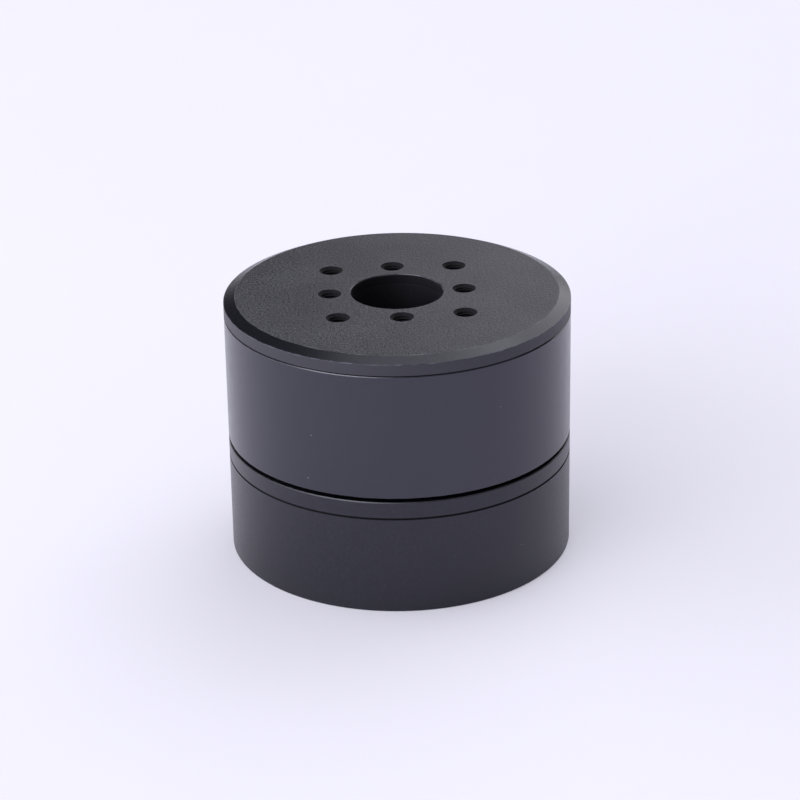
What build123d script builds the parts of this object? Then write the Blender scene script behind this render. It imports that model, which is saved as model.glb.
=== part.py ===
from build123d import *
from math import asin, cos, degrees, radians, sin, sqrt, tan
import os

# A hollow-shaft outer-rotor joint actuator, standing on its driver end with
# its axis along Z. The origin is the centre of the underside. The lower half
# is a can for the drive electronics, closed by the flange that carries the
# wound stator. The upper half, above the turning gap, is the rotor.

# Outer form, all in millimetres
body_dia = 49.0
bore_dia = 13.0
can_height = 14.3
flange_height = 2.5
turning_gap = 0.55
yoke_height = 18.15
cap_rim_height = 2.5
edge_break = 0.12

# Output cap
cap_bevel_width = 1.65
cap_bevel_drop = 0.72
cap_web = 3.0
cap_hub_depth = 4.0
cap_hub_dia = 31.0
cap_spigot_depth = 2.0
cap_spigot_wall = 1.5
bore_lip = 1.5
bore_chamfer = 0.15
glue_gap = 0.03

# Bolt circles for the load and for the mounting side, tapped for 3 mm screws
inner_bolt_circle = 19.0
outer_bolt_circle = 25.0
base_bolt_circle = 25.0
bolt_count = 4
tap_dia = 2.5
tap_chamfer_dia = 3.3
tap_end_wall = 1.0
base_boss_dia = 5.0
base_boss_gap = 1.0

# Rotor iron and magnets
yoke_wall = 1.6
magnet_thickness = 1.5
magnet_width = 4.1
magnet_overhang = 1.0
pole_count = 28
air_gap = 0.4

# Wound stator
tooth_count = 24
tooth_width = 2.0
shoe_thickness = 0.8
slot_opening = 1.2
core_back_wall = 2.0
winding_room_low = 3.4
winding_room_high = 2.8
insulator_thickness = 0.5
insulator_wall = 0.6
insulator_wall_height = 1.2
coil_side_gap = 0.12
coil_end_gap = 0.3
coil_window_gap = 0.05
coil_flank_angle = 1.5
lead_dia = 1.0
lead_hole_dia = 2.2

# Hollow shaft and its two ball bearings
shaft_wall = 1.0
shaft_end_gap = 0.4
shaft_chamfer = 0.2
bearing_section = 3.0
bearing_width = 4.0
ring_thickness = 0.85
ball_dia = 1.9
ball_count = 11
groove_play = 0.05
cage_thickness = 0.7
cage_height = 2.6
cage_pocket_play = 0.05
shield_thickness = 0.2
shield_recess = 0.15
shield_gap = 0.15
housing_wall = 1.5
shoulder_height = 0.8
bearing_recess = 0.7
land_height = 0.4
land_width = 0.7
tube_clearance = 0.8
stack_seat_width = 1.2

# Shaft retention and angle sensing
spring_height = 0.6
spring_sheet = 0.25
spring_width = 1.1
clip_thickness = 0.8
clip_width = 1.2
clip_groove_depth = 0.35
clip_opening = 30.0
clip_lug_dia = 2.2
clip_eye_dia = 0.9
sensor_magnet_width = 3.0
sensor_magnet_height = 2.0
holder_wall = 1.0
holder_plate = 0.6
sensor_gap = 0.5

# Driver can
can_wall = 1.5
floor_thickness = 3.0
collar_wall = 2.0
collar_height = 2.0
foot_chamfer = 0.15
spigot_depth = 2.0
spigot_wall = 1.5
slip_fit = 0.03
window_width = 19.0
window_margin = 0.1

# Posts and screws that hold the can and the board
post_count = 3
post_dia = 5.2
post_wall_gap = 0.3
case_screw_dia = 2.5
case_screw_head_dia = 4.7
case_screw_grip = 6.0
case_screw_end_room = 1.0
screw_recess = 0.15
case_hole_play = 0.1
thread_play = 0.02
hex_key = 1.5
hex_depth = 1.1
board_boss_dia = 4.4
board_screw_dia = 2.0
board_screw_head_dia = 3.8
board_screw_head_height = 1.3
board_screw_grip = 3.0

# Driver board and what is soldered to it
board_thickness = 1.6
board_edge_gap = 0.7
board_notch_gap = 0.3
board_centre_gap = 1.8
sensor_chip_side = 3.8
sensor_chip_height = 0.9
board_part_margin = 1.1
controller_side = 6.0
gate_driver_side = 4.0
chip_height = 0.9
transistor_side = 3.3
capacitor_length = 3.2
capacitor_width = 2.5
capacitor_height = 2.0
inductor_side = 4.0
inductor_height = 2.2

# Sockets in the window at the back of the can
power_socket_width = 8.6
signal_socket_step = 0.5
socket_depth = 6.4
socket_wall = 0.6
socket_back_wall = 1.4
socket_floor_gap = 0.15
socket_side_gap = 1.1
socket_spacing = 0.6
power_pin_side = 1.0
power_pin_pitch = 3.4
power_pin_count = 2
signal_pin_side = 0.4
signal_pin_count = 4
pin_setback = 1.2

# Radii, from the outside in for the motor and from the bore out for the shaft
body_r = body_dia / 2
yoke_inner_r = body_r - yoke_wall
magnet_inner_r = yoke_inner_r - magnet_thickness
stator_r = magnet_inner_r - air_gap
shoe_inner_r = stator_r - shoe_thickness
bore_r = bore_dia / 2
shaft_r = bore_r + shaft_wall
bearing_r = shaft_r + bearing_section
ball_circle_r = shaft_r + bearing_section / 2
tube_r = bearing_r + housing_wall
slot_bottom_r = tube_r + core_back_wall
slot_mid_r = (slot_bottom_r + shoe_inner_r) / 2
shoulder_r = bearing_r - shoulder_height
can_inner_r = body_r - can_wall
collar_r = bore_r + collar_wall
holder_r = shaft_r + holder_wall
post_circle_r = can_inner_r - post_wall_gap - post_dia / 2
board_r = can_inner_r - board_edge_gap
board_inner_r = shaft_r + board_centre_gap
board_boss_circle_r = board_r - board_boss_dia / 2 - board_edge_gap
board_part_r = board_inner_r + board_part_margin

# Heights, from the underside up
flange_low = can_height
flange_top = flange_low + flange_height
yoke_low = flange_top + turning_gap
yoke_top = yoke_low + yoke_height
cap_top = yoke_top + cap_rim_height
hub_low = cap_top - cap_hub_depth
upper_bearing_low = hub_low - land_height - bearing_width
lower_bearing_low = flange_low + bearing_recess
tube_top = hub_low - tube_clearance
stack_low = flange_top + winding_room_low
stack_top = hub_low - winding_room_high
stack_height = stack_top - stack_low
clip_top = lower_bearing_low - spring_height
holder_top = clip_top - clip_thickness
sensor_magnet_low = holder_top - holder_plate - sensor_magnet_height
board_top = sensor_magnet_low - sensor_gap - sensor_chip_height
board_low = board_top - board_thickness
base_boss_top = board_low - chip_height - base_boss_gap
collar_top = floor_thickness + collar_height
shaft_low = collar_top + shaft_end_gap
shaft_top = cap_top - bore_lip

# Angles round the axis, with the window for the sockets at the back
tooth_pitch = 360 / tooth_count
pole_pitch = 360 / pole_count
post_angle = 30
base_bolt_angle = 45
window_angle = 90
sensor_angle = 270
controller_angle = 286
gate_driver_angle = 315
inductor_angle = 252
board_boss_angles = (0, 180, 300)
lead_angles = (window_angle - 2 * tooth_pitch, window_angle, window_angle + 2 * tooth_pitch)
transistor_angles = (-20, 0, 20, 160, 180, 200)
capacitor_angles = (68, 83, 97, 112)

os.makedirs("parts", exist_ok=True)


def save(piece, name):
    piece.part.label = name
    export_step(piece.part, f"parts/{name}.step")


def at_angle(radius, angle):
    return (radius * cos(radians(angle)), radius * sin(radians(angle)))


def around(radius, angles):
    return Locations(*[at_angle(radius, angle) for angle in angles])


# Rotor

# The output cap is a disc with a shallow bevel. Its hub is deep enough for
# the load screws, its spigot centres the yoke ring, and its bore seats the shaft.
with BuildPart() as rotor_cap:
    spigot_r = yoke_inner_r - glue_gap
    with BuildSketch(Plane.XZ):
        with BuildLine():
            Polyline(
                (bore_r, shaft_top),
                (bore_r, cap_top - bore_chamfer),
                (bore_r + bore_chamfer, cap_top),
                (body_r - cap_bevel_width, cap_top),
                (body_r, cap_top - cap_bevel_drop),
                (body_r, yoke_top + edge_break),
                (body_r - edge_break, yoke_top),
                (spigot_r, yoke_top),
                (spigot_r, yoke_top - cap_spigot_depth),
                (spigot_r - cap_spigot_wall, yoke_top - cap_spigot_depth),
                (spigot_r - cap_spigot_wall, cap_top - cap_web),
                (cap_hub_dia / 2, cap_top - cap_web),
                (cap_hub_dia / 2, hub_low),
                (shaft_r + land_width, hub_low),
                (shaft_r + land_width, hub_low - land_height),
                (shaft_r, hub_low - land_height),
                (shaft_r, shaft_top),
                close=True,
            )
        make_face()
    revolve(axis=Axis.Z)
    with Locations(Plane.XY.offset(cap_top)):
        with PolarLocations(inner_bolt_circle / 2, bolt_count):
            CounterSinkHole(tap_dia / 2, tap_chamfer_dia / 2, cap_hub_depth, 90)
        with PolarLocations(outer_bolt_circle / 2, bolt_count, start_angle=180 / bolt_count):
            CounterSinkHole(tap_dia / 2, tap_chamfer_dia / 2, cap_hub_depth, 90)
save(rotor_cap, "rotor_cap")

# The steel ring is both the visible sleeve and the back iron of the magnets.
with BuildPart() as rotor_yoke_ring:
    with BuildSketch(Plane.XY.offset(yoke_low)):
        Circle(body_r)
        Circle(yoke_inner_r, mode=Mode.SUBTRACT)
    extrude(amount=yoke_height)
    outer_rims = rotor_yoke_ring.edges().filter_by(GeomType.CIRCLE).sort_by(SortBy.RADIUS)[-2:]
    chamfer(outer_rims, edge_break)
save(rotor_yoke_ring, "rotor_yoke_ring")


# One polarity of the magnet ring: parallel-sided blocks ground to the ring's curve.
def magnet_set(first_angle):
    with BuildPart() as magnets:
        with BuildSketch(Plane.XY.offset(stack_low - magnet_overhang)):
            with PolarLocations(yoke_inner_r, pole_count // 2, start_angle=first_angle):
                Rectangle(4 * magnet_thickness, magnet_width)
            Circle(yoke_inner_r - glue_gap, mode=Mode.INTERSECT)
            Circle(magnet_inner_r, mode=Mode.SUBTRACT)
        extrude(amount=stack_height + 2 * magnet_overhang)
    return magnets


save(magnet_set(0), "rotor_magnets_north")
save(magnet_set(pole_pitch), "rotor_magnets_south")

with BuildPart() as hollow_shaft:
    with BuildSketch(Plane.XY.offset(shaft_low)):
        Circle(shaft_r)
        Circle(bore_r, mode=Mode.SUBTRACT)
    extrude(amount=shaft_top - shaft_low)
    low_rim = hollow_shaft.faces().sort_by(Axis.Z)[0].edges().sort_by(SortBy.RADIUS)[-1]
    chamfer(low_rim, shaft_chamfer)
    with BuildSketch(Plane.XY.offset(clip_top - clip_thickness)):
        Circle(shaft_r + clip_width)
        Circle(shaft_r - clip_groove_depth, mode=Mode.SUBTRACT)
    extrude(amount=clip_thickness, mode=Mode.SUBTRACT)
save(hollow_shaft, "hollow_shaft")

# A conical washer pushes the lower inner ring away from the retaining ring.
with BuildPart() as preload_washer:
    with BuildSketch(Plane.XZ):
        with BuildLine():
            Polyline(
                (shaft_r, clip_top + spring_height),
                (shaft_r, clip_top + spring_height - spring_sheet),
                (shaft_r + spring_width, clip_top),
                (shaft_r + spring_width, clip_top + spring_sheet),
                close=True,
            )
        make_face()
    revolve(axis=Axis.Z)
save(preload_washer, "preload_washer")

with BuildPart() as shaft_retaining_ring:
    clip_outer_r = shaft_r + clip_width
    lug_angle = clip_opening / 2 + degrees(asin(clip_lug_dia / 2 / shaft_r))
    with BuildSketch(Plane.XY.offset(clip_top - clip_thickness)):
        Circle(clip_outer_r)
        Circle(shaft_r - clip_groove_depth, mode=Mode.SUBTRACT)
        with BuildLine():
            Polyline(
                (0, 0),
                at_angle(2 * clip_outer_r, -clip_opening / 2),
                at_angle(2 * clip_outer_r, clip_opening / 2),
                close=True,
            )
        make_face(mode=Mode.SUBTRACT)
        with around(clip_outer_r, (-lug_angle, lug_angle)):
            Circle(clip_lug_dia / 2)
            Circle(clip_eye_dia / 2, mode=Mode.SUBTRACT)
    extrude(amount=clip_thickness)
save(shaft_retaining_ring, "shaft_retaining_ring")

with BuildPart() as sensor_magnet_holder:
    with BuildSketch(Plane.XZ):
        with BuildLine():
            Polyline(
                (shaft_r, sensor_magnet_low),
                (holder_r, sensor_magnet_low),
                (holder_r, sensor_magnet_low + sensor_magnet_height),
                (holder_r + sensor_magnet_width, sensor_magnet_low + sensor_magnet_height),
                (holder_r + sensor_magnet_width, holder_top),
                (shaft_r, holder_top),
                close=True,
            )
        make_face()
    revolve(axis=Axis.Z)
save(sensor_magnet_holder, "sensor_magnet_holder")

with BuildPart() as sensor_ring_magnet:
    with BuildSketch(Plane.XY.offset(sensor_magnet_low)):
        Circle(holder_r + sensor_magnet_width)
        Circle(holder_r, mode=Mode.SUBTRACT)
    extrude(amount=sensor_magnet_height)
save(sensor_ring_magnet, "sensor_ring_magnet")


# Thin-section ball bearings

# The rings share one raceway circle, and the comb-shaped cage holds the balls
# between the two shields.
def ball_bearing(name, low):
    middle = low + bearing_width / 2
    groove_r = ball_dia / 2 + groove_play
    ring_mid_r = {
        "inner_ring": shaft_r + ring_thickness / 2,
        "outer_ring": bearing_r - ring_thickness / 2,
    }
    for ring_name, radius in ring_mid_r.items():
        with BuildPart() as ring:
            with BuildSketch(Plane.XZ):
                with Locations((radius, middle)):
                    Rectangle(ring_thickness, bearing_width)
                with Locations((ball_circle_r, middle)):
                    Circle(groove_r, mode=Mode.SUBTRACT)
            revolve(axis=Axis.Z)
        save(ring, f"{name}_{ring_name}")

    shield_outer_r = bearing_r - ring_thickness
    shield_inner_r = shaft_r + ring_thickness + shield_gap
    with BuildPart() as shields:
        for level in (low + shield_recess, low + bearing_width - shield_recess - shield_thickness):
            with BuildSketch(Plane.XY.offset(level)):
                Circle(shield_outer_r)
                Circle(shield_inner_r, mode=Mode.SUBTRACT)
            extrude(amount=shield_thickness)
    save(shields, f"{name}_shields")

    with BuildPart() as cage:
        with BuildSketch(Plane.XY.offset(middle - cage_height / 2)):
            Circle(ball_circle_r + cage_thickness / 2)
            Circle(ball_circle_r - cage_thickness / 2, mode=Mode.SUBTRACT)
        extrude(amount=cage_height)
        pocket = ball_dia + 2 * cage_pocket_play
        with BuildSketch(Plane.XY.offset(middle - pocket / 2)):
            with PolarLocations(ball_circle_r, ball_count):
                Rectangle(3 * cage_thickness, pocket)
        extrude(amount=cage_height, mode=Mode.SUBTRACT)
    save(cage, f"{name}_cage")

    with BuildPart() as balls:
        with Locations(Plane.XY.offset(middle)):
            with PolarLocations(ball_circle_r, ball_count):
                Sphere(ball_dia / 2)
    save(balls, f"{name}_balls")


ball_bearing("upper_bearing", upper_bearing_low)
ball_bearing("lower_bearing", lower_bearing_low)


# Stator

# The flange shows as the thin ring under the turning gap. From it rise the
# bearing tube and the seat of the core, and below hang the can's spigot, the
# posts that take the case screws and the bosses that take the board.
with BuildPart() as stator_flange:
    spigot_outer_r = can_inner_r - slip_fit
    with BuildSketch(Plane.XZ):
        with BuildLine():
            Polyline(
                (bearing_r, flange_low),
                (bearing_r, lower_bearing_low + bearing_width),
                (shoulder_r, lower_bearing_low + bearing_width),
                (shoulder_r, upper_bearing_low),
                (bearing_r, upper_bearing_low),
                (bearing_r, tube_top),
                (tube_r, tube_top),
                (tube_r, stack_low),
                (tube_r + stack_seat_width, stack_low),
                (tube_r + stack_seat_width, flange_top),
                (body_r - edge_break, flange_top),
                (body_r, flange_top - edge_break),
                (body_r, flange_low + edge_break),
                (body_r - edge_break, flange_low),
                (spigot_outer_r, flange_low),
                (spigot_outer_r, flange_low - spigot_depth),
                (spigot_outer_r - spigot_wall, flange_low - spigot_depth),
                (spigot_outer_r - spigot_wall, flange_low),
                close=True,
            )
        make_face()
    revolve(axis=Axis.Z)
    with BuildSketch(Plane.XY.offset(floor_thickness)):
        with PolarLocations(post_circle_r, post_count, start_angle=post_angle):
            Circle(post_dia / 2)
            Circle(case_screw_dia / 2 + thread_play, mode=Mode.SUBTRACT)
    extrude(amount=case_screw_grip + case_screw_end_room)
    with BuildSketch(Plane.XY.offset(floor_thickness + case_screw_grip + case_screw_end_room)):
        with PolarLocations(post_circle_r, post_count, start_angle=post_angle):
            Circle(post_dia / 2)
    extrude(until=Until.NEXT)
    with BuildSketch(Plane.XY.offset(board_top)):
        with around(board_boss_circle_r, board_boss_angles):
            Circle(board_boss_dia / 2)
            Circle(board_screw_dia / 2 + thread_play, mode=Mode.SUBTRACT)
    extrude(amount=flange_low - board_top)
    with BuildSketch(Plane.XY.offset(flange_low)):
        with around(slot_mid_r, lead_angles):
            Circle(lead_hole_dia / 2)
    extrude(amount=flange_height, mode=Mode.SUBTRACT)
save(stator_flange, "stator_flange")

# The core is a stack of notched rings: each tooth ends in a shoe that follows
# the air gap, and the slots between the teeth take the coils.
with BuildPart() as stator_core:
    with BuildSketch(Plane.XY.offset(stack_low)):
        Circle(stator_r)
        Circle(shoe_inner_r, mode=Mode.SUBTRACT)
        with PolarLocations(stator_r, tooth_count, start_angle=tooth_pitch / 2):
            Rectangle(4 * shoe_thickness, slot_opening, mode=Mode.SUBTRACT)
        with PolarLocations(slot_mid_r, tooth_count):
            Rectangle(shoe_inner_r - slot_bottom_r + shoe_thickness, tooth_width)
        Circle(slot_bottom_r)
        Circle(tube_r, mode=Mode.SUBTRACT)
    extrude(amount=stack_height)
save(stator_core, "stator_core")


# An end plate of moulded nylon keeps the wire off the core's edges. A round
# wall behind the coils holds their inner ends.
def insulator(low, wall_low):
    with BuildPart() as plate:
        with BuildSketch(Plane.XY.offset(low)):
            with PolarLocations(slot_mid_r, tooth_count):
                Rectangle(shoe_inner_r - slot_bottom_r + shoe_thickness, tooth_width)
            Circle(slot_bottom_r)
            Circle(tube_r + stack_seat_width, mode=Mode.SUBTRACT)
        extrude(amount=insulator_thickness)
        with BuildSketch(Plane.XY.offset(wall_low)):
            Circle(slot_bottom_r)
            Circle(slot_bottom_r - insulator_wall, mode=Mode.SUBTRACT)
        extrude(amount=insulator_wall_height)
    return plate


save(insulator(stack_top, stack_top + insulator_thickness), "stator_insulator_upper")
save(
    insulator(stack_low - insulator_thickness, stack_low - insulator_thickness - insulator_wall_height),
    "stator_insulator_lower",
)

# One tooth's coil fills half of each slot beside it, so it thickens outwards.
with BuildPart() as tooth_coil:
    coil_inner_r = slot_bottom_r + coil_end_gap
    coil_outer_r = shoe_inner_r - coil_end_gap
    coil_taper = tooth_pitch / 2 - coil_flank_angle
    window_half = tooth_width / 2 + coil_window_gap
    coil_thickness = coil_inner_r * sin(radians(tooth_pitch / 2)) - coil_side_gap - window_half
    window_tall = stack_height + 2 * insulator_thickness
    coil_mid = (coil_inner_r, 0, stack_low + stack_height / 2)
    across_tooth = Plane(origin=coil_mid, x_dir=(0, 1, 0), z_dir=(1, 0, 0))
    with BuildSketch(across_tooth):
        RectangleRounded(
            2 * (window_half + coil_thickness), window_tall + 2 * coil_thickness, coil_thickness
        )
    extrude(amount=coil_outer_r - coil_inner_r, taper=-coil_taper)
    with BuildSketch(across_tooth):
        Rectangle(2 * window_half, window_tall)
    extrude(amount=coil_outer_r - coil_inner_r, mode=Mode.SUBTRACT)

# The coils are wound in neighbouring pairs, one pair for each phase in turn.
for phase, letter in enumerate("uvw"):
    teeth = [tooth for tooth in range(tooth_count) if tooth // 2 % 3 == phase]
    with BuildPart() as phase_coils:
        with Locations(*[Location((0, 0, 0), (0, 0, tooth * tooth_pitch)) for tooth in teeth]):
            add(tooth_coil.part)
    save(phase_coils, f"phase_{letter}_coils")

# One lead of each phase drops from its coil through the flange to the board.
with BuildPart() as phase_leads:
    lead_growth = (slot_mid_r + lead_dia / 2 - coil_inner_r) * tan(radians(coil_taper))
    lead_top = stack_low - insulator_thickness - coil_thickness - lead_growth
    with BuildSketch(Plane.XY.offset(board_top)):
        with around(slot_mid_r, lead_angles):
            Circle(lead_dia / 2)
    extrude(amount=lead_top - board_top)
save(phase_leads, "phase_leads")


# Driver can and board

# The can is turned from solid: a thick floor with a collar round the bore, a
# thin wall, and a window at the back for the two sockets.
with BuildPart() as driver_can:
    with BuildSketch(Plane.XZ):
        with BuildLine():
            Polyline(
                (bore_r, bore_chamfer),
                (bore_r, collar_top),
                (collar_r, collar_top),
                (collar_r, floor_thickness),
                (can_inner_r, floor_thickness),
                (can_inner_r, can_height),
                (body_r - edge_break, can_height),
                (body_r, can_height - edge_break),
                (body_r, foot_chamfer),
                (body_r - foot_chamfer, 0),
                (bore_r + bore_chamfer, 0),
                close=True,
            )
        make_face()
    revolve(axis=Axis.Z)
    with BuildSketch(Plane.XY.offset(floor_thickness)):
        with PolarLocations(base_bolt_circle / 2, bolt_count, start_angle=base_bolt_angle):
            Circle(base_boss_dia / 2)
    extrude(amount=base_boss_top - floor_thickness)
    underside = Plane(origin=(0, 0, 0), x_dir=(1, 0, 0), z_dir=(0, 0, -1))
    with Locations(underside):
        with PolarLocations(base_bolt_circle / 2, bolt_count, start_angle=base_bolt_angle):
            CounterSinkHole(tap_dia / 2, tap_chamfer_dia / 2, base_boss_top - tap_end_wall, 90)
        with PolarLocations(post_circle_r, post_count, start_angle=-post_angle):
            CounterSinkHole(
                case_screw_dia / 2 + case_hole_play,
                case_screw_head_dia / 2 + screw_recess,
                floor_thickness,
                90,
            )
    window_inner_y = sqrt(can_inner_r**2 - (window_width / 2) ** 2)
    with BuildSketch(Plane.XY.offset(floor_thickness)):
        with Locations((0, (window_inner_y + body_r) / 2)):
            Rectangle(window_width, body_r - window_inner_y)
    extrude(amount=board_low - floor_thickness + window_margin, mode=Mode.SUBTRACT)
save(driver_can, "driver_can")

with BuildPart() as driver_board:
    with BuildSketch(Plane.XY.offset(board_low)):
        Circle(board_r)
        Circle(board_inner_r, mode=Mode.SUBTRACT)
        with PolarLocations(post_circle_r + post_dia / 2, post_count, start_angle=post_angle):
            SlotCenterToCenter(post_dia, post_dia + 2 * board_notch_gap, mode=Mode.SUBTRACT)
        with around(board_boss_circle_r, board_boss_angles):
            Circle(board_screw_dia / 2 + case_hole_play, mode=Mode.SUBTRACT)
    extrude(amount=board_thickness)
save(driver_board, "driver_board")

# The angle sensor faces the ring magnet from the side opposite the sockets.
with BuildPart() as angle_sensor_chip:
    sensor_r = board_inner_r + (sensor_chip_side + sensor_gap) / 2
    with BuildSketch(Plane.XY.offset(board_top)):
        with PolarLocations(sensor_r, 1, sensor_angle):
            Rectangle(sensor_chip_side, sensor_chip_side)
    extrude(amount=sensor_chip_height)
save(angle_sensor_chip, "angle_sensor_chip")


# The parts under the board stand in a ring round its hole, clear of the posts.
def board_parts(name, length, width, height, angles):
    with BuildPart() as parts:
        with BuildSketch(Plane.XY.offset(board_low - height)):
            for angle in angles:
                with PolarLocations(board_part_r + length / 2, 1, angle):
                    Rectangle(length, width)
        extrude(amount=height)
    save(parts, name)


board_parts("controller_chip", controller_side, controller_side, chip_height, [controller_angle])
board_parts("gate_driver_chip", gate_driver_side, gate_driver_side, chip_height, [gate_driver_angle])
board_parts("power_transistors", transistor_side, transistor_side, chip_height, transistor_angles)
board_parts("board_capacitors", capacitor_length, capacitor_width, capacitor_height, capacitor_angles)
board_parts("supply_inductor", inductor_side, inductor_side, inductor_height, [inductor_angle])


# Each socket stands on the board's underside with its mouth in the window.
socket_front = sqrt(body_r**2 - (window_width / 2) ** 2) - window_margin
sockets_width = window_width - 2 * socket_side_gap
signal_socket_width = sockets_width - power_socket_width - socket_spacing
signal_pin_pitch = (signal_socket_width - 2 * socket_wall) / (signal_pin_count + 1)


def socket(centre_x, width, height):
    mouth = Plane(
        origin=(centre_x, socket_front, board_low - height / 2),
        x_dir=(-1, 0, 0),
        z_dir=(0, 1, 0),
    )
    with BuildPart() as housing:
        with BuildSketch(mouth):
            Rectangle(width, height)
        extrude(amount=-socket_depth)
        with BuildSketch(mouth):
            Rectangle(width - 2 * socket_wall, height - 2 * socket_wall)
        extrude(amount=-(socket_depth - socket_back_wall), mode=Mode.SUBTRACT)
    return housing


def socket_pins(centre_x, height, count, pitch, side):
    back = Plane(
        origin=(centre_x, socket_front - socket_depth + socket_back_wall, board_low - height / 2),
        x_dir=(-1, 0, 0),
        z_dir=(0, 1, 0),
    )
    with BuildPart() as pins:
        with BuildSketch(back):
            with GridLocations(pitch, pitch, count, 1):
                Rectangle(side, side)
        extrude(amount=socket_depth - socket_back_wall - pin_setback)
    return pins


power_socket_height = board_low - floor_thickness - socket_floor_gap
power_socket_x = (sockets_width - power_socket_width) / 2
signal_socket_height = power_socket_height - signal_socket_step
signal_socket_x = (signal_socket_width - sockets_width) / 2
save(socket(power_socket_x, power_socket_width, power_socket_height), "power_socket")
save(socket(signal_socket_x, signal_socket_width, signal_socket_height), "signal_socket")
save(
    socket_pins(power_socket_x, power_socket_height, power_pin_count, power_pin_pitch, power_pin_side),
    "power_socket_pins",
)
save(
    socket_pins(signal_socket_x, signal_socket_height, signal_pin_count, signal_pin_pitch, signal_pin_side),
    "signal_socket_pins",
)

# Countersunk screws come in from below and end in the flange's posts.
with BuildPart() as case_screw:
    head_drop = (case_screw_head_dia - case_screw_dia) / 2
    with BuildSketch(Plane.XZ):
        with BuildLine():
            Polyline(
                (0, screw_recess),
                (case_screw_head_dia / 2, screw_recess),
                (case_screw_dia / 2, screw_recess + head_drop),
                (case_screw_dia / 2, floor_thickness + case_screw_grip),
                (0, floor_thickness + case_screw_grip),
                close=True,
            )
        make_face()
    revolve(axis=Axis.Z)
    with BuildSketch(Plane.XY.offset(screw_recess)):
        RegularPolygon(hex_key / 2, 6, major_radius=False)
    extrude(amount=hex_depth, mode=Mode.SUBTRACT)
with BuildPart() as case_screw_set:
    with PolarLocations(post_circle_r, post_count, start_angle=post_angle):
        add(case_screw.part)
save(case_screw_set, "case_screws")

with BuildPart() as board_screws:
    with BuildSketch(Plane.XY.offset(board_low - board_screw_head_height)):
        with around(board_boss_circle_r, board_boss_angles):
            Circle(board_screw_head_dia / 2)
    extrude(amount=board_screw_head_height)
    with BuildSketch(Plane.XY.offset(board_low)):
        with around(board_boss_circle_r, board_boss_angles):
            Circle(board_screw_dia / 2)
    extrude(amount=board_thickness + board_screw_grip)
save(board_screws, "board_screws")
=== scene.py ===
import math

import bmesh
import bpy
from mathutils import Matrix, Quaternion, Vector


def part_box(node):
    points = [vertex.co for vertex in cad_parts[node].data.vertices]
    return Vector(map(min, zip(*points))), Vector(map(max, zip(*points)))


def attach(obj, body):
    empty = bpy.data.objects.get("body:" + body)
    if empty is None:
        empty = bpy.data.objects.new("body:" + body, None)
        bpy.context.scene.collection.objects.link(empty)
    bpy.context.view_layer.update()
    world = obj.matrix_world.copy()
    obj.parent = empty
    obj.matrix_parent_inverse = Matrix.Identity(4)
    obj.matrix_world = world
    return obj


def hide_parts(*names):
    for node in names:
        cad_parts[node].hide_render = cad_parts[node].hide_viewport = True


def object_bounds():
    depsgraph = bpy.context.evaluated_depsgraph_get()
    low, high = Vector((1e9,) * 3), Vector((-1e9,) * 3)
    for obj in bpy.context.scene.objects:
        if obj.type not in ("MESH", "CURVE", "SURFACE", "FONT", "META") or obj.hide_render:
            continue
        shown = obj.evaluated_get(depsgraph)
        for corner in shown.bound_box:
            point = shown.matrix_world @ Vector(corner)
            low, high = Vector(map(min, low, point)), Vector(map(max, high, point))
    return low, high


bl_info = {
    "name": "Hollow-shaft joint actuator",
    "version": (1, 0, 0),
    "blender": (4, 5, 0),
    "location": "3D View > Sidebar > Actuator",
    "description": "Finishes, threads and windings for a packed joint actuator, with its studio",
    "category": "Object",
}

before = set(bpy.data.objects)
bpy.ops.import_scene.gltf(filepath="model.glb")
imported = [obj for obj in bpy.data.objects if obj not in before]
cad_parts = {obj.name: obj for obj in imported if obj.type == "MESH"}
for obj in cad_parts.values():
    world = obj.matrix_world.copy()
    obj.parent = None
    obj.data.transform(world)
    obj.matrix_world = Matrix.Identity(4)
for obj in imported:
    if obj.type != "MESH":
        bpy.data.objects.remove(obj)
cad_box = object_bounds()

MM = 0.001

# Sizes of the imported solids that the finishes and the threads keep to
BEVEL_DROP = 0.72 * MM
BEVEL_WIDTH = 1.65 * MM
BORE_R = 6.5 * MM
BORE_EDGE = 0.07 * MM
INNER_CIRCLE_R = 9.5 * MM
OUTER_CIRCLE_R = 12.5 * MM
BASE_CIRCLE_R = 12.5 * MM
TAP_R = 1.25 * MM
TAP_MOUTH_R = 1.7 * MM
TAP_CHAMFER = 0.4 * MM

# Settings of the add-on


def linear(code):
    """A linear colour with alpha from an sRGB hex value."""
    shares = [int(code[i : i + 2], 16) / 255 for i in (1, 3, 5)]
    shares = [s / 12.92 if s <= 0.04045 else ((s + 0.055) / 1.055) ** 2.4 for s in shares]
    return (*shares, 1.0)


def colour(name, description, code):
    return bpy.props.FloatVectorProperty(
        name=name, description=description, subtype="COLOR",
        size=4, min=0.0, max=1.0, default=linear(code),
    )


def length(name, description, value):
    return bpy.props.FloatProperty(
        name=name, description=description, subtype="DISTANCE", unit="LENGTH",
        min=0.0, precision=5, default=value,
    )


def level(name, description, value):
    return bpy.props.FloatProperty(name=name, description=description, min=0.0, default=value)


def angle(name, description, degrees):
    return bpy.props.FloatProperty(
        name=name, description=description, subtype="ANGLE", unit="ROTATION",
        default=math.radians(degrees),
    )


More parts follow.
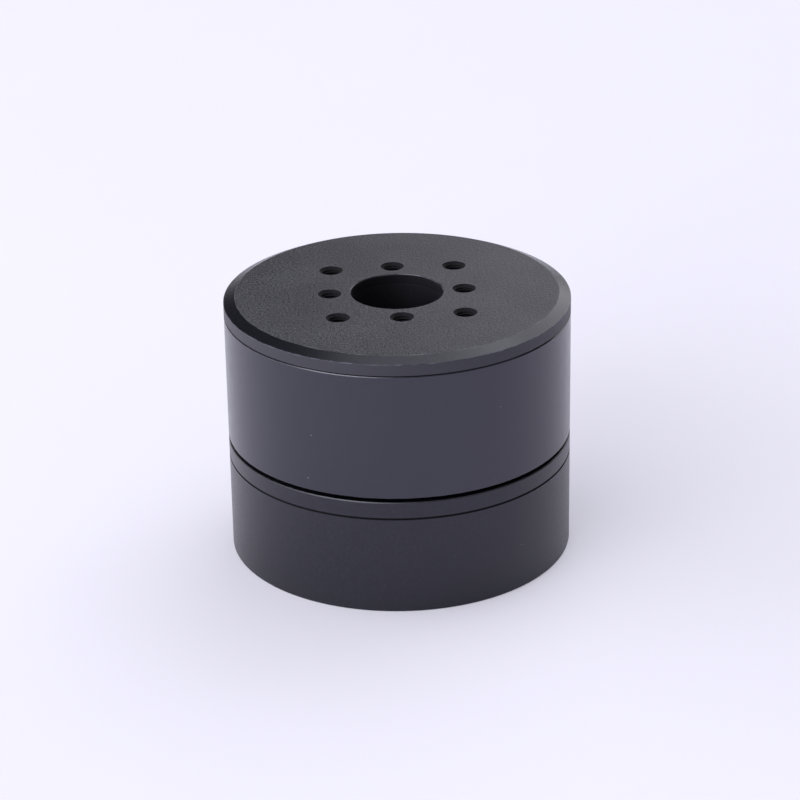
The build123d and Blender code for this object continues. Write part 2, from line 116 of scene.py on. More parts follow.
class ActuatorSizes(bpy.types.PropertyGroup):
    """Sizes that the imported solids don't carry, all in metres."""

    thread_pitch: length("Thread pitch", "Rise of one turn of the tapped 3 mm threads", 0.5 * MM)
    thread_crest: length("Thread crest", "Height of the crests over the drilled wall", 0.11 * MM)
    wire_dia: length("Wire diameter", "Enamelled winding wire, over its enamel", 0.5 * MM)
    blast_grain: length("Blast grain", "Dimples of the blasted face, coarse enough to show", 0.38 * MM)
    turning_pitch: length("Turning pitch", "Feed lines left by the lathe on the cap's bevel", 0.16 * MM)
    lamination: length("Lamination", "Thickness of one stamped sheet of the core", 0.35 * MM)
    patch_size: length("Patch size", "Broad patches where a black finish is darker", 9.0 * MM)
    # The lines along edges and round holes are lighter partly through wear and partly as painted edge
    # highlights.
    line_break_size: length("Scuff size", "Breaks in the rubbed line along an edge", 2.2 * MM)
    rub_highlight_width: length("Rubbed width", "Width of the rubbed line along an edge", 0.16 * MM)
    rub_highlight_rim: length("Rubbed rim", "Width of the rubbed line round a tapped hole", 0.13 * MM)
    edge_radius: length("Edge radius", "Rounding of the black pieces' edges in the light", 0.1 * MM)
    speck_spacing: length("Speck spacing", "Usual distance between specks of dust", 3.2 * MM)
    speck_radius: length("Speck radius", "Size of one speck of dust", 0.08 * MM)


class ActuatorColours(bpy.types.PropertyGroup):
    """Colours of the finishes, as they show in even light, among them painted shade and partly painted
    edge highlights.
    """

    cap_dark: colour("Cap, dark grain", "Shaded dimples of the blasted cap", "#0d0d10")
    cap_light: colour("Cap, light grain", "Raised grain of the blasted cap", "#48484f")
    cap_rim: colour("Cap rim", "Fine-turned rim round the cap", "#28282e")
    cap_turned: colour("Cap, turned faces", "Bevels of the cap, turned after blasting", "#15151b")
    sleeve_dark: colour("Sleeve, dark", "Electrocoated steel sleeve", "#0a0a12")
    sleeve_light: colour("Sleeve, light", "Thinner places in the sleeve's coat", "#0f0f18")
    case_dark: colour("Case, dark", "Anodised case", "#040408")
    case_light: colour("Case, light", "Lighter grain of the anodised case", "#0f0f16")
    shaft_dark: colour("Shaft, dark", "Anodised bore of the hollow shaft", "#0c0c10")
    shaft_light: colour("Shaft, light", "Lighter grain of the hollow shaft", "#131318")
    # Painted shade for the thin joints and the insides of the tapped holes.
    painted_joint_and_hole_shade: colour("Joint gap", "Shaded joints and the insides of tapped holes", "#040405")
    # Lighter edge colour: partly wear and partly painted edge highlight.
    worn_edge_and_highlight: colour("Worn edge", "Edges where the black finish is rubbed thin", "#55555f")
    dust: colour("Dust", "Specks of dust and lint", "#666672")
    copper: colour("Enamelled copper", "Winding wire under its amber enamel", "#b0602c")
    board: colour("Solder mask", "Green mask of the driver board", "#12492b")
    insulator: colour("Insulator", "Green glass-filled nylon end plates", "#2c6b47")
    power_socket: colour("Power socket", "Yellow nylon of the power socket", "#dca91b")
    signal_socket: colour("Signal socket", "Natural nylon of the signal socket", "#e3ddcb")


class ActuatorStudio(bpy.types.PropertyGroup):
    """The floor, the lights and the photograph's camera."""

    floor: colour("Floor", "Pale floor, and the backdrop behind it", "#edebf8")
    floor_share: bpy.props.FloatProperty(
        name="Floor share", description="How much of its own even colour the floor shows the camera",
        subtype="FACTOR", min=0.0, max=1.0, default=0.2,
    )
    fade_start: length("Fade start", "Where the floor starts to run into the backdrop", 280 * MM)
    fade_end: length("Fade end", "Where the floor has the backdrop's plain colour", 800 * MM)
    sky_level: level("Sky level", "Even light from all round", 0.42)
    overhead_level: level("Overhead level", "Radiance of the overhead soft box", 1.0)
    left_level: level("Left floor level", "Radiance of the long, low soft box at the left", 3.5)
    fill_level: level("Fill level", "Radiance of the soft box at the front left", 2.0)
    back_level: level("Back level", "Radiance of the soft box at the back right", 1.2)
    glint_level: level("Glint level", "Radiance of the strip that only the gloss shows", 7.0)
    aim_height: length("Aim height", "Height of the point that camera and lights face", 19.6 * MM)
    camera_distance: length("Camera distance", "From the camera to that point", 417.66 * MM)
    camera_azimuth: angle("Camera azimuth", "Turn of the camera round the object", -3.8)
    camera_elevation: angle("Camera elevation", "Height of the camera above the horizon", 24.447)
    camera_yaw: angle("Camera yaw", "Small turn of the view to the left", -0.022)
    camera_pitch: angle("Camera pitch", "Small turn of the view upwards", 0.194)
    camera_roll: angle("Camera roll", "Small turn of the view about its own line", 1.01)
    focal_length: bpy.props.FloatProperty(
        name="Focal length", description="Lens on a 36 mm sensor", unit="CAMERA",
        min=1.0, default=130.969,
    )


def sizes():
    """The sizes in the actuator's settings."""
    return bpy.context.scene.actuator_sizes


def tint(name):
    """One of the colours in the actuator's settings."""
    return tuple(getattr(bpy.context.scene.actuator_colours, name))


# Finishes

# Black dye leaves a faint blue in the sheen. In the bore, the holes and the joints the sheen is
# darkened as painted shade.
SHEEN = (0.85, 0.84, 1.0, 1.0)
PAINTED_SHADE_SHEEN = (0.35, 0.35, 0.42, 1.0)


def add_node(tree, kind, settings):
    """Add one node. Each setting is an option of it, an input's value, or an input's link."""
    node = tree.nodes.new(kind)
    for key, value in settings.items():
        if isinstance(value, bpy.types.NodeSocket):
            tree.links.new(value, node.inputs[key])
        elif isinstance(key, str) and hasattr(node, key):
            setattr(node, key, value)
        else:
            node.inputs[key].default_value = value
    return node


def new_material(name, **settings):
    """An empty material whose Principled shader has the given constant values."""
    material = bpy.data.materials.new(name)
    material.use_nodes = True
    tree = material.node_tree
    tree.nodes.clear()
    settings = {key.replace("_", " "): value for key, value in settings.items()}
    shader = add_node(tree, "ShaderNodeBsdfPrincipled", settings)
    add_node(tree, "ShaderNodeOutputMaterial", {"Surface": shader.outputs["BSDF"]})
    return material, tree, shader


def feed(tree, node, sources):
    """Link a node's inputs to the outputs that feed them."""
    for key, source in sources.items():
        tree.links.new(source, node.inputs[key])


def object_place(tree):
    """The shaded point's coordinates on the object, its distance from the axis and its height."""
    coords = add_node(tree, "ShaderNodeTexCoord", {}).outputs["Object"]
    height = add_node(tree, "ShaderNodeSeparateXYZ", {0: coords}).outputs["Z"]
    flat = add_node(
        tree, "ShaderNodeVectorMath", {"operation": "MULTIPLY", 0: coords, 1: (1, 1, 0)}
    ).outputs[0]
    radius = add_node(tree, "ShaderNodeVectorMath", {"operation": "LENGTH", 0: flat})
    return coords, radius.outputs["Value"], height


def nearest_point(tree, place, points):
    """Distance from the shaded place to the nearest of a few points."""
    nearest = None
    for point in points:
        away = add_node(
            tree, "ShaderNodeVectorMath", {"operation": "DISTANCE", 0: place, 1: (*point, 0)}
        ).outputs["Value"]
        if nearest is not None:
            away = add_node(
                tree, "ShaderNodeMath", {"operation": "MINIMUM", 0: nearest, 1: away}
            ).outputs[0]
        nearest = away
    return nearest


class BlackFinish:
    """A black finish on turned metal: its grain, with places that look different laid over it."""

    def __init__(self, name, dark, light, grain, roughness, ior, sheen=SHEEN):
        """The grain is a size in metres, and the roughness runs over it from dark to light."""
        self.material, self.tree, self.shader = new_material(name, IOR=ior, Specular_Tint=sheen)
        self.sheen = sheen
        tree = self.tree
        self.coords, self.radius, self.height = object_place(tree)
        self.relief = add_node(
            tree, "ShaderNodeTexNoise",
            {"Scale": 1 / grain, "Detail": 3.0, "Roughness": 0.64, "Vector": self.coords},
        ).outputs[0]
        blend = add_node(
            tree, "ShaderNodeMapRange", {"Value": self.relief, "From Min": 0.37, "From Max": 0.63}
        ).outputs[0]
        self.tone = add_node(
            tree, "ShaderNodeMix", {"data_type": "RGBA", 0: blend, 6: dark, 7: light}
        ).outputs[2]
        self.gloss = add_node(
            tree, "ShaderNodeMapRange",
            {"Value": self.relief, "From Min": 0.3, "From Max": 0.7,
             "To Min": roughness[0], "To Max": roughness[1]},
        ).outputs[0]
        patch = add_node(
            tree, "ShaderNodeTexNoise",
            {"Scale": 1 / sizes().patch_size, "Detail": 2.0, "Vector": self.coords},
        ).outputs[0]
        patch = add_node(
            tree, "ShaderNodeMapRange",
            {"Value": patch, "From Min": 0.35, "From Max": 0.65, "To Max": 0.35},
        ).outputs[0]
        self.lay(patch, dark)

    def lay(self, mask, tone, gloss=None, relief=None, sheen=None):
        """Give the places where the mask is 1 their own tone, and gloss, relief or sheen if given."""
        tree = self.tree
        self.tone = add_node(
            tree, "ShaderNodeMix", {"data_type": "RGBA", 0: mask, 6: self.tone, 7: tone}
        ).outputs[2]
        if gloss is not None:
            self.gloss = add_node(
                tree, "ShaderNodeMix", {0: mask, 2: self.gloss, 3: gloss}
            ).outputs[0]
        if relief is not None:
            self.relief = add_node(
                tree, "ShaderNodeMix", {0: mask, 2: self.relief, 3: relief}
            ).outputs[0]
        if sheen is not None:
            self.sheen = add_node(
                tree, "ShaderNodeMix", {"data_type": "RGBA", 0: mask, 6: self.sheen, 7: sheen}
            ).outputs[2]

    def rub_and_highlight(self, distance, width):
        """Lighten the finish here and there within a width of the line at distance 0, partly as wear
        and partly as a painted edge highlight.
        """
        tree = self.tree
        near = add_node(
            tree, "ShaderNodeMapRange",
            {"Value": distance, "From Max": width, "To Min": 1.0, "To Max": 0.0},
        ).outputs[0]
        line_breaks = add_node(
            tree, "ShaderNodeTexNoise",
            {"Scale": 1 / sizes().line_break_size, "Detail": 4.0, "Vector": self.coords},
        ).outputs[0]
        line_breaks = add_node(
            tree, "ShaderNodeMapRange", {"Value": line_breaks, "From Min": 0.42, "From Max": 0.66}
        ).outputs[0]
        # The lighter line is partly wear and partly painted edge highlight.
        wear_and_highlight = add_node(tree, "ShaderNodeMath", {"operation": "MULTIPLY", 0: near, 1: line_breaks})
        self.lay(wear_and_highlight.outputs[0], tint("worn_edge_and_highlight"))

    def turn_round_face(self, face_height):
        """Keep the grain to the face, and turn the rim, the bevel and the bore smooth."""
        tree = self.tree
        just_below_face = face_height - 0.02 * MM
        just_off_bore = BORE_R + 0.05 * MM
        # The bevel's band is as high as the bevel, and starts a little below the face.
        band_middle = face_height - 0.53 * BEVEL_DROP
        lines = add_node(
            tree, "ShaderNodeMath",
            {"operation": "MULTIPLY", 0: self.radius, 1: math.tau / sizes().turning_pitch},
        ).outputs[0]
        lines = add_node(tree, "ShaderNodeMath", {"operation": "SINE", 0: lines}).outputs[0]
        lines = add_node(
            tree, "ShaderNodeMapRange",
            {"Value": lines, "From Min": -1.0, "To Min": 0.47, "To Max": 0.53},
        ).outputs[0]
        turned = add_node(
            tree, "ShaderNodeMath", {"operation": "LESS_THAN", 0: self.height, 1: just_below_face}
        ).outputs[0]
        self.lay(turned, tint("cap_rim"), gloss=0.5, relief=lines)
        bevelled = add_node(
            tree, "ShaderNodeMath",
            {"operation": "COMPARE", 0: self.height, 1: band_middle, 2: BEVEL_DROP / 2},
        ).outputs[0]
        self.lay(bevelled, tint("cap_turned"), gloss=0.24)
        # The bore's wall takes the shaft's turned colour, and its sheen is darkened as painted shade.
        bored = add_node(
            tree, "ShaderNodeMath", {"operation": "LESS_THAN", 0: self.radius, 1: just_off_bore}
        ).outputs[0]
        self.lay(bored, tint("shaft_dark"), gloss=0.56, sheen=PAINTED_SHADE_SHEEN)

    def rub_and_highlight_edges(self, *edges):
        """Lighten the finish along turned edges, each given as its radius and height, partly as wear
        and partly as painted highlight.
        """
        place = add_node(
            self.tree, "ShaderNodeCombineXYZ", {"X": self.radius, "Y": self.height}
        ).outputs[0]
        self.rub_and_highlight(nearest_point(self.tree, place, edges), sizes().rub_highlight_width)

    def scatter_specks(self):
        """Scatter a few specks of dust, at most one in each cell of their spacing."""
        tree, spacing = self.tree, sizes().speck_spacing
        cells = add_node(
            tree, "ShaderNodeTexVoronoi",
            {"Scale": 1 / spacing, "Randomness": 1.0, "Vector": self.coords},
        ).outputs
        near = add_node(
            tree, "ShaderNodeMath",
            {"operation": "LESS_THAN", 0: cells["Distance"], 1: sizes().speck_radius / spacing},
        ).outputs[0]
        draw = add_node(tree, "ShaderNodeSeparateColor", {0: cells["Color"]}).outputs[0]
        kept = add_node(
            tree, "ShaderNodeMath", {"operation": "GREATER_THAN", 0: draw, 1: 0.55}
        ).outputs[0]
        specks = add_node(tree, "ShaderNodeMath", {"operation": "MULTIPLY", 0: near, 1: kept})
        self.lay(specks.outputs[0], tint("dust"))

    def shade_holes(self, axes, end_height):
        """Paint shade into tapped holes above a height, and lighten the rims of their mouths, partly as
        wear and partly as painted highlight.

        The holes repeat in each quarter, and the axes are those of one quarter.
        """
        tree = self.tree
        folded = add_node(
            tree, "ShaderNodeVectorMath", {"operation": "ABSOLUTE", 0: self.coords}
        ).outputs[0]
        folded = add_node(
            tree, "ShaderNodeVectorMath", {"operation": "MULTIPLY", 0: folded, 1: (1, 1, 0)}
        ).outputs[0]
        away = nearest_point(tree, folded, axes)
        off_rim = add_node(
            tree, "ShaderNodeMath", {"operation": "SUBTRACT", 0: away, 1: TAP_MOUTH_R}
        ).outputs[0]
        off_rim = add_node(
            tree, "ShaderNodeMath", {"operation": "ABSOLUTE", 0: off_rim}
        ).outputs[0]
        self.rub_and_highlight(off_rim, sizes().rub_highlight_rim)
        within = add_node(
            tree, "ShaderNodeMath", {"operation": "LESS_THAN", 0: away, 1: TAP_MOUTH_R}
        ).outputs[0]
        above = add_node(
            tree, "ShaderNodeMath", {"operation": "GREATER_THAN", 0: self.height, 1: end_height}
        ).outputs[0]
        inside = add_node(
            tree, "ShaderNodeMath", {"operation": "MULTIPLY", 0: within, 1: above}
        ).outputs[0]
        # Painted shade inside the holes: a near-black colour, a high roughness and a darkened sheen.
        self.lay(inside, tint("painted_joint_and_hole_shade"), gloss=0.8, sheen=PAINTED_SHADE_SHEEN)

    def shade_joints(self, *heights):
        """Paint shade into the thin joints at the piece's lower or upper edge, given by their heights.
        """
        tree = self.tree
        dark_to, faded_at = 0.14 * MM, 0.19 * MM
        place = add_node(tree, "ShaderNodeCombineXYZ", {"X": self.height}).outputs[0]
        away = nearest_point(tree, place, [(height, 0) for height in heights])
        shaded = add_node(
            tree, "ShaderNodeMapRange",
            {"Value": away, "From Min": dark_to, "From Max": faded_at, "To Min": 1.0, "To Max": 0.0},
        ).outputs[0]
        # Painted shade in the joints: a near-black colour, full roughness and a darkened sheen.
        self.lay(shaded, tint("painted_joint_and_hole_shade"), gloss=1.0, sheen=PAINTED_SHADE_SHEEN)

    def finish(self, relief, *nodes):
        """Raise the grain by the relief, round the edges in the light, and dress the nodes."""
        rounded = add_node(
            self.tree, "ShaderNodeBevel", {"samples": 4, "Radius": sizes().edge_radius}
        ).outputs[0]
        bump = add_node(
            self.tree, "ShaderNodeBump",
            {"Strength": 1.0, "Distance": relief, "Height": self.relief, "Normal": rounded},
        ).outputs[0]
        feed(self.tree, self.shader,
             {"Base Color": self.tone, "Roughness": self.gloss, "Normal": bump})
        if isinstance(self.sheen, bpy.types.NodeSocket):
            feed(self.tree, self.shader, {"Specular Tint": self.sheen})
        dress(self.material, *nodes)


def plain_finish(name, dark, light, grain, relief, roughness, **settings):
    """A finish whose colour, gloss and relief vary with one noise of the grain's size."""
    material, tree, shader = new_material(name, **settings)
    coords = add_node(tree, "ShaderNodeTexCoord", {}).outputs["Object"]
    fine = add_node(
        tree, "ShaderNodeTexNoise", {"Scale": 1 / grain, "Detail": 3.0, "Vector": coords}
    ).outputs[0]
    tone = add_node(
        tree, "ShaderNodeMix", {"data_type": "RGBA", 0: fine, 6: dark, 7: light}
    ).outputs[2]
    gloss = add_node(
        tree, "ShaderNodeMapRange",
        {"Value": fine, "From Min": 0.25, "From Max": 0.75,
         "To Min": roughness[0], "To Max": roughness[1]},
    ).outputs[0]
    bump = add_node(tree, "ShaderNodeBump", {"Distance": relief, "Height": fine}).outputs[0]
    feed(tree, shader, {"Base Color": tone, "Roughness": gloss, "Normal": bump})
    return material


def dress(material, *nodes):
    """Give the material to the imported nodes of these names."""
    for name in nodes:
        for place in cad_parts[name].material_slots:
            place.material = material


# New meshes


def mesh_object(name, bm, material):
    """Turn a bmesh into an object of the scene."""
    mesh = bpy.data.meshes.new(name)
    bm.to_mesh(mesh)
    bm.free()
    mesh.materials.append(material)
    made = bpy.data.objects.new(name, mesh)
    bpy.context.scene.collection.objects.link(made)
    return made


def finish_piece(name, bm, material, body, smooth=True):
    """Turn a bmesh into a piece that rides on its body, with its faces pointing outwards."""
    bmesh.ops.remove_doubles(bm, verts=bm.verts, dist=0.0005 * MM)
    bmesh.ops.recalc_face_normals(bm, faces=bm.faces)
    for face in bm.faces:
        face.smooth = smooth
    piece = mesh_object(name, bm, material)
    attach(piece, body)
    return piece


def thread_ridge(bm, x, y, top, depth):
    """One helical ridge on the wall of a tapped hole, from its top down."""
    pitch = sizes().thread_pitch
    crest_r = TAP_R - sizes().thread_crest
    root_r = TAP_R + 0.02 * MM
    corners = (
        (root_r, 0.42 * pitch),
        (crest_r, 0.06 * pitch),
        (crest_r, -0.06 * pitch),
        (root_r, -0.42 * pitch),
    )
    profile = bm.faces.new([bm.verts.new((x + r, y, top - pitch / 2 + z)) for r, z in corners])
    steps_a_turn = 18
    turns = int((depth - pitch) / pitch)
    bmesh.ops.spin(
        bm, geom=[profile, *profile.edges, *profile.verts], cent=(x, y, 0), axis=(0, 0, 1),
        dvec=(0, 0, -pitch / steps_a_turn), angle=turns * math.tau, steps=turns * steps_a_turn,
    )


def thread_circle(bm, circle_r, first_turn, top, depth):
    """Ridges in the four tapped holes of a bolt circle, the first at a turn in degrees."""
    for k in range(4):
        a = math.radians(first_turn + 90 * k)
        thread_ridge(bm, circle_r * math.cos(a), circle_r * math.sin(a), top, depth)


# Operators, one for each group of like pieces and one for the stage


class ACTUATOR_OT_black_finishes(bpy.types.Operator):
    """Black finishes of the cap, the sleeve, the flange, the can and the shaft"""

    bl_idname = "actuator.black_finishes"
    bl_label = "Black finishes"

    def execute(self, context):
        body_r, top = cad_box[1].x, cad_box[1].z
        sleeve_low, sleeve_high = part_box("rotor_yoke_ring")
        # Bead-blasted, black anodised aluminium: fine dimples scatter a matte grey sheen at a low
        # angle, and the bevel and rim, turned afterwards, stay smoother and darker.
        cap = BlackFinish(
            "Blasted black anodised aluminium", tint("cap_dark"), tint("cap_light"),
            grain=sizes().blast_grain, roughness=(0.35, 0.6), ior=1.53,
        )
        cap.turn_round_face(top)
        # Lighter lines along the bevel's and the bore's edges, partly wear and partly painted
        # highlight.
        cap.rub_and_highlight_edges(
            (body_r, top - BEVEL_DROP),
            (body_r - BEVEL_WIDTH, top),
            (BORE_R + BORE_EDGE, top - BORE_EDGE),
        )
        cap.scatter_specks()
        diagonal = OUTER_CIRCLE_R * math.sqrt(0.5)
        axes = ((INNER_CIRCLE_R, 0), (0, INNER_CIRCLE_R), (diagonal, diagonal))
        # Painted shade inside the tapped holes, with lighter rims that are partly wear and partly
        # painted highlight.
        cap.shade_holes(axes, end_height=top - 3.0 * MM)
        # Painted shade in the cap's joint with the sleeve.
        cap.shade_joints(sleeve_high.z)
        cap.finish(0.07 * MM, "rotor_cap")
        # Electrocoated steel: a thin, even, satin black coat with soft broad variation, no grain.
        sleeve = BlackFinish(
            "Satin black electrocoated steel", tint("sleeve_dark"), tint("sleeve_light"),
            grain=1.6 * MM, roughness=(0.22, 0.27), ior=1.7,
        )
        # A lighter line along the sleeve's lower edge, partly wear and partly painted highlight.
        sleeve.rub_and_highlight_edges((body_r, sleeve_low.z))
        sleeve.scatter_specks()
        sleeve.finish(0.004 * MM, "rotor_yoke_ring")
        # Fine-blasted, black anodised aluminium of the standing half, duller than the sleeve.
        case = BlackFinish(
            "Fine black anodised aluminium", tint("case_dark"), tint("case_light"),
            grain=0.45 * MM, roughness=(0.29, 0.38), ior=1.58,
        )
        case.scatter_specks()
        # Painted shade in the joints at the top of the can and at the top of the flange.
        case.shade_joints(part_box("driver_can")[1].z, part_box("stator_flange")[1].z)
        case.finish(0.012 * MM, "stator_flange", "driver_can")
        # The shaft's bore is turned before anodising: fine tool marks scatter an even dark grey.
        # Its sheen is darkened as painted shade in the bore.
        shaft = BlackFinish(
            "Turned black anodised bore", tint("shaft_dark"), tint("shaft_light"),
            grain=0.3 * MM, roughness=(0.5, 0.62), ior=1.6, sheen=PAINTED_SHADE_SHEEN,
        )
        shaft.scatter_specks()
        shaft.finish(0.004 * MM, "hollow_shaft")
        return {"FINISHED"}


class ACTUATOR_OT_inner_finishes(bpy.types.Operator):
    """Finishes of the motor, the bearings, the board and the sockets inside"""

    bl_idname = "actuator.inner_finishes"
    bl_label = "Inner finishes"

    def execute(self, context):
        # Nickel plate on the sintered magnets: warm grey metal with a soft sheen.
        nickel = plain_finish(
            "Nickel-plated magnet", linear("#b9b5ab"), linear("#cbc7bd"),
            grain=0.6 * MM, relief=0.003 * MM, roughness=(0.22, 0.34), Metallic=1.0,
        )
        dress(nickel, "rotor_magnets_north", "rotor_magnets_south")
        # Sintered ferrite: matte charcoal with a slightly open grain.
        ferrite = plain_finish(
            "Sintered ferrite", linear("#2b2b2d"), linear("#3d3d40"),
            grain=0.25 * MM, relief=0.01 * MM, roughness=(0.6, 0.8), IOR=1.9,
        )
        dress(ferrite, "sensor_ring_magnet")
        # Turned aluminium, left bare, in the holder of the ring magnet.
        aluminium = plain_finish(
            "Turned aluminium", linear("#a7a9ac"), linear("#c3c5c8"),
            grain=0.4 * MM, relief=0.004 * MM, roughness=(0.28, 0.4), Metallic=1.0,
        )
        dress(aluminium, "sensor_magnet_holder")
        # Glass-filled nylon: dull green with pale fibre ends at the surface.
        insulator = plain_finish(
            "Green glass-filled nylon", tint("insulator"), linear("#3d7c58"),
            grain=0.3 * MM, relief=0.006 * MM, roughness=(0.42, 0.6), IOR=1.53,
        )
        dress(insulator, "stator_insulator_upper", "stator_insulator_lower")
        # Solid copper under clear amber polyester enamel.
        copper = plain_finish(
            "Enamelled copper", tint("copper"), linear("#c4743a"),
            grain=0.5 * MM, relief=0.002 * MM, roughness=(0.25, 0.35), Metallic=1.0,
            Coat_Weight=0.7, Coat_Roughness=0.12,
        )
        dress(copper, "phase_u_coils", "phase_v_coils", "phase_w_coils", "phase_leads")
        # Ground and lapped bearing steel: bright, with very little scatter.
        bearing_steel = plain_finish(
            "Ground bearing steel", linear("#bfc1c4"), linear("#d0d2d4"),
            grain=0.5 * MM, relief=0.001 * MM, roughness=(0.1, 0.18), Metallic=1.0,
        )
        # Pressed sheet steel of the bearing shields: duller than the rings.
        sheet_steel = plain_finish(
            "Pressed sheet steel", linear("#9fa0a0"), linear("#b4b5b4"),
            grain=0.7 * MM, relief=0.003 * MM, roughness=(0.3, 0.42), Metallic=1.0,
        )
        # Moulded natural nylon of the ball cages: creamy and a little waxy.
        nylon = plain_finish(
            "Natural nylon", linear("#cfc3a4"), linear("#dbd1b5"),
            grain=0.8 * MM, relief=0.003 * MM, roughness=(0.4, 0.5), IOR=1.53,
        )
        for bearing in ("upper_bearing", "lower_bearing"):
            rolling = (f"{bearing}_inner_ring", f"{bearing}_outer_ring", f"{bearing}_balls")
            dress(bearing_steel, *rolling)
            dress(sheet_steel, f"{bearing}_shields")
            dress(nylon, f"{bearing}_cage")
        # Phosphated spring steel: dark grey-brown with an oily, broken sheen.
        spring_steel = plain_finish(
            "Phosphated spring steel", linear("#4a4641"), linear("#625d56"),
            grain=0.3 * MM, relief=0.006 * MM, roughness=(0.38, 0.55), Metallic=0.9,
        )
        dress(spring_steel, "preload_washer", "shaft_retaining_ring")
        # Black-oxide screws: near-black steel, shinier where driver and heading die touched it.
        screw_steel = plain_finish(
            "Black-oxide steel", linear("#2a2a2c"), linear("#3b3b3e"),
            grain=0.3 * MM, relief=0.004 * MM, roughness=(0.3, 0.45), Metallic=0.85,
        )
        dress(screw_steel, "case_screws", "board_screws")
        # Moulding compound of the chips: charcoal with a fine satin texture.
        compound = plain_finish(
            "Epoxy moulding compound", linear("#17181a"), linear("#222326"),
            grain=0.18 * MM, relief=0.004 * MM, roughness=(0.5, 0.65), IOR=1.55,
        )
        dress(compound, "angle_sensor_chip", "controller_chip", "gate_driver_chip")
        dress(compound, "power_transistors")
        # Pressed ferrite powder of the shielded inductor: flat dark grey.
        inductor = plain_finish(
            "Ferrite inductor body", linear("#38393b"), linear("#47484b"),
            grain=0.22 * MM, relief=0.006 * MM, roughness=(0.55, 0.7), IOR=1.7,
        )
        dress(inductor, "supply_inductor")
        # Moulded nylon sockets: even colour, faint flow marks and a soft gloss.
        yellow_nylon = plain_finish(
            "Yellow moulded nylon", tint("power_socket"), linear("#e3b530"),
            grain=1.4 * MM, relief=0.004 * MM, roughness=(0.32, 0.42), IOR=1.53,
        )
        dress(yellow_nylon, "power_socket")
        pale_nylon = plain_finish(
            "Natural moulded nylon", tint("signal_socket"), linear("#ece7d8"),
            grain=1.4 * MM, relief=0.004 * MM, roughness=(0.35, 0.45), IOR=1.53,
        )
        dress(pale_nylon, "signal_socket")
        # Gold flash over nickel on the pins.
        gold = plain_finish(
            "Gold-plated brass", linear("#d2a850"), linear("#dfb964"),
            grain=0.3 * MM, relief=0.002 * MM, roughness=(0.18, 0.28), Metallic=1.0,
        )
        dress(gold, "power_socket_pins", "signal_socket_pins")
        return {"FINISHED"}


class ACTUATOR_OT_core_finish(bpy.types.Operator):
    """Stacked laminations of the stator core"""

    bl_idname = "actuator.core_finish"
    bl_label = "Stator core finish"

    def execute(self, context):
        # Stamped electrical steel: grey-blue sheets whose edges show as fine rings up the stack.
        material, tree, shader = new_material("Laminated electrical steel", Metallic=1.0)
        coords, _radius, height = object_place(tree)
        rings = add_node(
            tree, "ShaderNodeMath",
            {"operation": "MULTIPLY", 0: height, 1: math.tau / sizes().lamination},
        ).outputs[0]
        rings = add_node(tree, "ShaderNodeMath", {"operation": "SINE", 0: rings}).outputs[0]
        sheet = add_node(
            tree, "ShaderNodeMapRange", {"Value": rings, "From Min": -1.0, "From Max": -0.55}
        ).outputs[0]
        smudge = add_node(
            tree, "ShaderNodeTexNoise", {"Scale": 1 / (1.2 * MM), "Detail": 3.0, "Vector": coords}
        ).outputs[0]
        steel = add_node(
            tree, "ShaderNodeMix",
            {"data_type": "RGBA", 0: smudge, 6: linear("#767a80"), 7: linear("#93979c")},
        ).outputs[2]
        tone = add_node(
            tree, "ShaderNodeMix", {"data_type": "RGBA", 0: sheet, 6: linear("#33353a"), 7: steel}
        ).outputs[2]
        gloss = add_node(
            tree, "ShaderNodeMapRange", {"Value": smudge, "To Min": 0.38, "To Max": 0.52}
        ).outputs[0]
        bump = add_node(
            tree, "ShaderNodeBump", {"Distance": 0.02 * MM, "Height": sheet}
        ).outputs[0]
        feed(tree, shader, {"Base Color": tone, "Roughness": gloss, "Normal": bump})
        dress(material, "stator_core")
        return {"FINISHED"}


